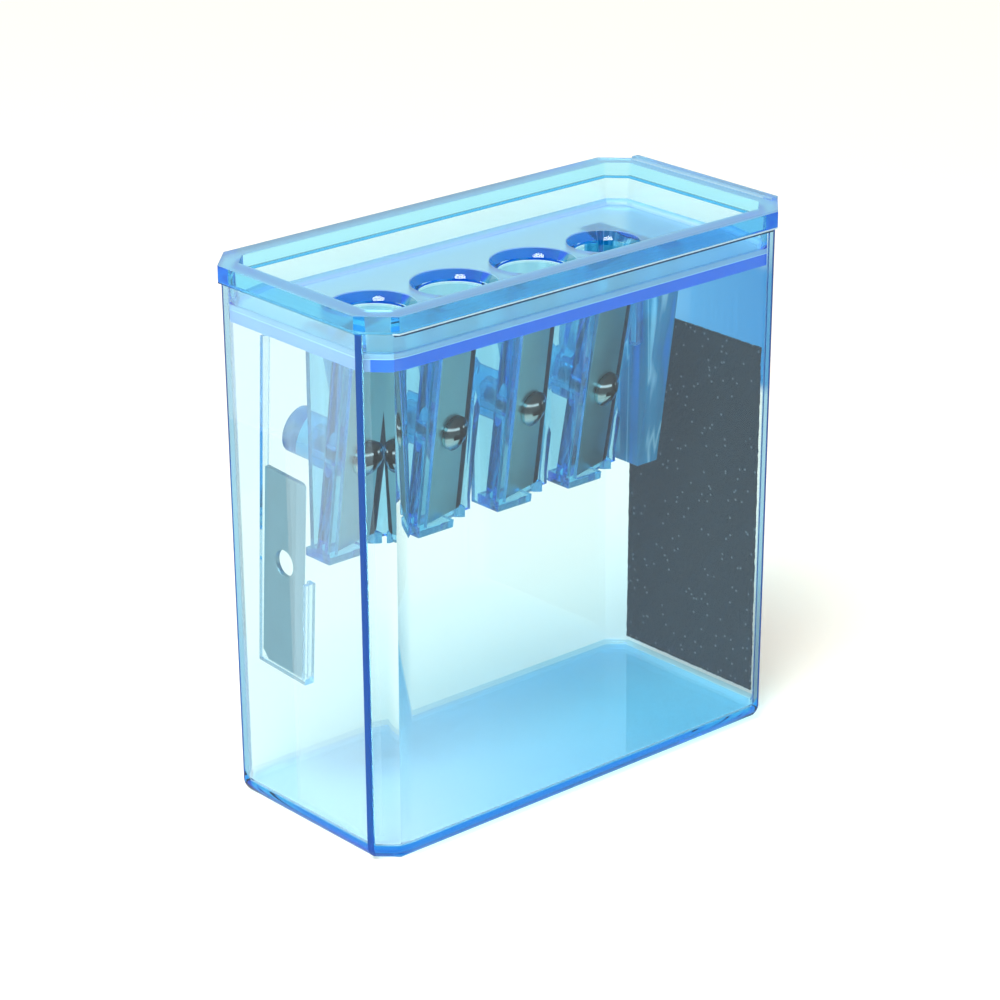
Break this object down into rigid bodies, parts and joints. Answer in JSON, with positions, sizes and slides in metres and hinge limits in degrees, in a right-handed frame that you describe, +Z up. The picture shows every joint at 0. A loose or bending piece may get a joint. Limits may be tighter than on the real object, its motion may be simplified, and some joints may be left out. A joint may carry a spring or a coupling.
{
  "type": "pencil sharpener",
  "caption": "Hand-held container pencil sharpener: a see-through box with a lift-off lid that holds a row of sharpener blades, a spare blade and an abrasive sheet.",
  "frame": {"origin": "centre of the overall box at table height, under the middle of the container's flat bottom", "axes": "+X along the container's length towards the end wall with the abrasive sheet, -Y towards the long wall that the blades face, +Z up, the way the lid lifts off"},
  "size_m": [0.0644, 0.0308, 0.066],
  "materials": {
    "tinted_plastic": "clear blue moulded plastic",
    "blade_steel": "ground",
    "screw_steel": "plated",
    "abrasive": "coarse grit"
  },
  "bodies": {
    "container": {"container": "tinted_plastic", "abrasive_sheet": "abrasive"},
    "lid": {"lid": "tinted_plastic", "blade_1": "blade_steel", "blade_2": "blade_steel", "blade_3": "blade_steel", "blade_4": "blade_steel"},
    "screw_1": {"blade_screw_1": "screw_steel"},
    "screw_2": {"blade_screw_2": "screw_steel"},
    "screw_3": {"blade_screw_3": "screw_steel"},
    "screw_4": {"blade_screw_4": "screw_steel"},
    "spare_blade": {"spare_blade": "blade_steel"}
  },
  "joints": [
    {"name": "lid_lift", "type": "slide", "parent": "container", "child": "lid", "axis": [0, 0, 1], "range_m": [0, 0.035]},
    {"name": "blade_screw_1_turn", "type": "hinge", "parent": "lid", "child": "screw_1", "pos_m": [-0.02227, -0.001, 0.04427], "axis": [0.2079, -0.9674, -0.1446], "continuous": true},
    {"name": "blade_screw_2_turn", "type": "hinge", "parent": "lid", "child": "screw_2", "pos_m": [-0.01017, -0.001, 0.04427], "axis": [0.2079, -0.9674, -0.1446], "continuous": true},
    {"name": "blade_screw_3_turn", "type": "hinge", "parent": "lid", "child": "screw_3", "pos_m": [0.00193, -0.001, 0.04427], "axis": [0.2079, -0.9674, -0.1446], "continuous": true},
    {"name": "blade_screw_4_turn", "type": "hinge", "parent": "lid", "child": "screw_4", "pos_m": [0.01313, -0.00146, 0.04416], "axis": [0.2079, -0.9602, -0.1866], "continuous": true},
    {"name": "spare_blade_slide", "type": "slide", "parent": "container", "child": "spare_blade", "axis": [0, -0.0611, 0.9981], "range_m": [0, 0.015]}
  ]
}
